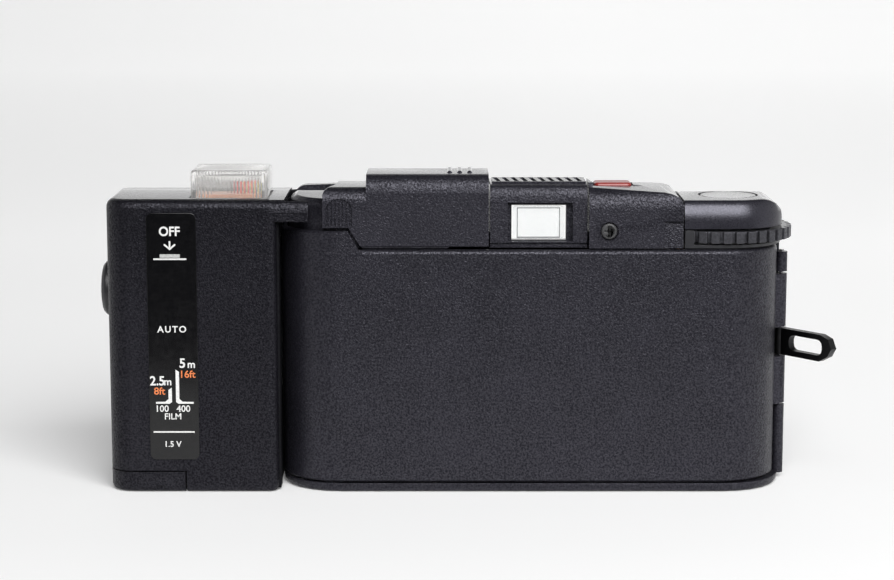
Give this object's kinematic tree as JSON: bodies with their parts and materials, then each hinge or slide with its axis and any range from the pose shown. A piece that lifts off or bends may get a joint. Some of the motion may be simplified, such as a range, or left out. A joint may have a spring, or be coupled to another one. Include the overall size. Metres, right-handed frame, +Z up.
{
  "type": "compact film camera with flash",
  "caption": "Compact clamshell film camera seen with its sliding lens cover open, thumb wheel film advance, hinged back, side strap lug and a detachable electronic flash.",
  "frame": {"origin": "on the resting plane, at the middle of the camera body's length and on its film-to-front mid depth, under the base plate", "axes": "+X to the right seen from behind the camera (towards the film advance wheel), -Y towards the user's eye, +Y out of the lens, +Z up"},
  "size_m": [0.1497, 0.0403, 0.065],
  "materials": {
    "body_plastic": "black fine-stippled moulded plastic, satin",
    "inner_plastic": "dull black",
    "black_metal": "satin black enamel",
    "steel": "plated",
    "steel_shaft": "ground",
    "brass": "machined",
    "red_plastic": "smooth red-orange",
    "clear_plastic": "clear acrylic",
    "optical_glass": "polished",
    "board": "green laminate",
    "cell_wrap": "printed sleeve, plain",
    "neon": "glowing orange",
    "label": "smooth black with white and orange printing"
  },
  "bodies": {
    "camera_body": {"chassis": "inner_plastic", "front_shell": "body_plastic", "base_plate": "body_plastic", "base_screw_1": "steel", "base_screw_2": "steel", "tripod_socket": "steel", "top_cover_left": "body_plastic", "viewfinder_housing": "body_plastic", "top_cover_right": "body_plastic", "end_cap_right": "body_plastic", "wheel_deck": "body_plastic", "viewfinder_eyepiece": "optical_glass", "viewfinder_objective": "optical_glass", "counter_window": "clear_plastic", "lens_barrel": "body_plastic", "front_lens": "optical_glass", "rear_lens": "optical_glass", "shutter_plate": "black_metal", "housing_screw": "black_metal", "door_hinge_pin": "steel", "button_cells": "steel", "circuit_board": "board", "flash_socket": "brass", "shutter_spring": "steel"},
    "rear_door": {"rear_door": "body_plastic", "pressure_plate": "black_metal", "pressure_spring": "steel"},
    "strap_lug": {"strap_lug": "black_metal"},
    "sliding_cover": {"sliding_cover": "body_plastic"},
    "shutter_button": {"shutter_button": "red_plastic"},
    "shutter_blade_a": {"shutter_blade_a": "black_metal"},
    "shutter_blade_b": {"shutter_blade_b": "black_metal"},
    "advance_wheel": {"advance_wheel": "body_plastic"},
    "takeup_spool": {"takeup_spool": "inner_plastic"},
    "idler_gear": {"idler_gear": "brass"},
    "sprocket_shaft": {"sprocket_shaft": "steel_shaft"},
    "counter_dial": {"counter_dial": "inner_plastic"},
    "focus_ring": {"focus_ring": "body_plastic"},
    "aperture_lever": {"aperture_lever": "body_plastic"},
    "rewind_bush": {"rewind_bush": "steel"},
    "rewind_shaft": {"rewind_shaft": "steel"},
    "rewind_crank": {"rewind_crank": "black_metal"},
    "door_latch": {"door_latch": "steel"},
    "rewind_button": {"rewind_button": "steel"},
    "battery_cover": {"battery_cover": "body_plastic"},
    "flash": {"flash_case": "body_plastic", "flash_front": "body_plastic", "flash_window": "clear_plastic", "flash_reflector": "steel", "flash_tube": "optical_glass", "flash_capacitor": "cell_wrap", "flash_board": "board", "flash_battery": "cell_wrap", "battery_spring": "steel", "flash_mount_plate": "body_plastic", "flash_label": "label"},
    "flash_button": {"flash_button": "clear_plastic", "neon_lamp": "neon"},
    "flash_clamp_screw": {"flash_clamp_screw": "body_plastic"},
    "flash_battery_door": {"flash_battery_door": "body_plastic"}
  },
  "joints": [
    {"name": "rear_door_hinge", "type": "hinge", "parent": "camera_body", "child": "rear_door", "pos_m": [0.0513, -0.001, 0.025], "axis": [0, 0, 1], "range_deg": [0, 90]},
    {"name": "strap_lug_swing", "type": "hinge", "parent": "rear_door", "child": "strap_lug", "pos_m": [0.0513, -0.001, 0.02885], "axis": [0, 0, 1], "range_deg": [-20, 20]},
    {"name": "sliding_cover_slide", "type": "slide", "parent": "camera_body", "child": "sliding_cover", "axis": [1, 0, 0], "range_m": [0, 0.0194]},
    {"name": "shutter_release", "type": "slide", "parent": "camera_body", "child": "shutter_button", "axis": [0, 0, -1], "range_m": [0, 0.0008], "deforming": ["shutter_spring"]},
    {"name": "shutter_blade_a_pivot", "type": "hinge", "parent": "camera_body", "child": "shutter_blade_a", "pos_m": [-0.0077, 0.007, 0.0349], "axis": [0, 1, 0], "range_deg": [0, 29]},
    {"name": "shutter_blade_b_pivot", "type": "hinge", "parent": "camera_body", "child": "shutter_blade_b", "pos_m": [0.0087, 0.007, 0.0349], "axis": [0, 1, 0], "range_deg": [-29, 0]},
    {"name": "advance_wheel_turn", "type": "hinge", "parent": "camera_body", "child": "advance_wheel", "pos_m": [0.0386, -0.0003, 0.052], "axis": [0, 0, 1], "continuous": true},
    {"name": "takeup_spool_turn", "type": "hinge", "parent": "camera_body", "child": "takeup_spool", "pos_m": [0.0386, -0.0003, 0.025], "axis": [0, 0, 1], "continuous": true},
    {"name": "idler_gear_turn", "type": "hinge", "parent": "camera_body", "child": "idler_gear", "pos_m": [0.03145, -0.00365, 0.048], "axis": [0, 0, 1], "continuous": true},
    {"name": "sprocket_turn", "type": "hinge", "parent": "camera_body", "child": "sprocket_shaft", "pos_m": [0.0243, -0.007, 0.027], "axis": [0, 0, 1], "continuous": true},
    {"name": "counter_dial_turn", "type": "hinge", "parent": "camera_body", "child": "counter_dial", "pos_m": [0.04, -0.0014, 0.057], "axis": [0, 0, 1], "continuous": true},
    {"name": "focus_lever_turn", "type": "hinge", "parent": "camera_body", "child": "focus_ring", "pos_m": [0.0005, 0.012, 0.0285], "axis": [0, 1, 0], "range_deg": [-14, 14]},
    {"name": "aperture_lever_slide", "type": "slide", "parent": "camera_body", "child": "aperture_lever", "axis": [1, 0, 0], "range_m": [-0.004, 0.004]},
    {"name": "rewind_pull", "type": "slide", "parent": "camera_body", "child": "rewind_bush", "axis": [0, 0, -1], "range_m": [0, 0.003]},
    {"name": "rewind_turn", "type": "hinge", "parent": "rewind_bush", "child": "rewind_shaft", "pos_m": [-0.0336, -0.0002, 0.002], "axis": [0, 0, 1], "continuous": true},
    {"name": "rewind_crank_fold", "type": "hinge", "parent": "rewind_shaft", "child": "rewind_crank", "pos_m": [-0.0294, -0.0002, 0.0013], "axis": [0, -1, 0], "range_deg": [0, 120]},
    {"name": "door_latch_slide", "type": "slide", "parent": "camera_body", "child": "door_latch", "axis": [0, 0, -1], "range_m": [0, 0.003]},
    {"name": "rewind_button_press", "type": "slide", "parent": "camera_body", "child": "rewind_button", "axis": [0, 0, 1], "range_m": [0, 0.001]},
    {"name": "battery_cover_remove", "type": "slide", "parent": "camera_body", "child": "battery_cover", "axis": [0, 0, -1], "range_m": [0, 0.006]},
    {"name": "flash_detach", "type": "slide", "parent": "camera_body", "child": "flash", "axis": [-1, 0, 0], "range_m": [0, 0.015]},
    {"name": "flash_button_press", "type": "slide", "parent": "flash", "child": "flash_button", "axis": [0, 0, -1], "range_m": [0, 0.005]},
    {"name": "flash_clamp_turn", "type": "hinge", "parent": "flash", "child": "flash_clamp_screw", "pos_m": [-0.07, 0.003, 0.0392], "axis": [1, 0, 0], "continuous": true},
    {"name": "flash_battery_door_slide", "type": "slide", "parent": "flash", "child": "flash_battery_door", "axis": [-1, 0, 0], "range_m": [0, 0.017]}
  ],
  "couplings": [
    {"joint": "shutter_blade_a_pivot", "follows": "shutter_release", "rad_per_m": 625},
    {"joint": "shutter_blade_b_pivot", "follows": "shutter_release", "rad_per_m": -625},
    {"joint": "takeup_spool_turn", "follows": "advance_wheel_turn", "ratio": 1},
    {"joint": "idler_gear_turn", "follows": "advance_wheel_turn", "ratio": -1},
    {"joint": "sprocket_turn", "follows": "advance_wheel_turn", "ratio": 1},
    {"joint": "counter_dial_turn", "follows": "advance_wheel_turn", "ratio": 0.06},
    {"joint": "door_latch_slide", "follows": "rewind_pull", "ratio": 1}
  ]
}
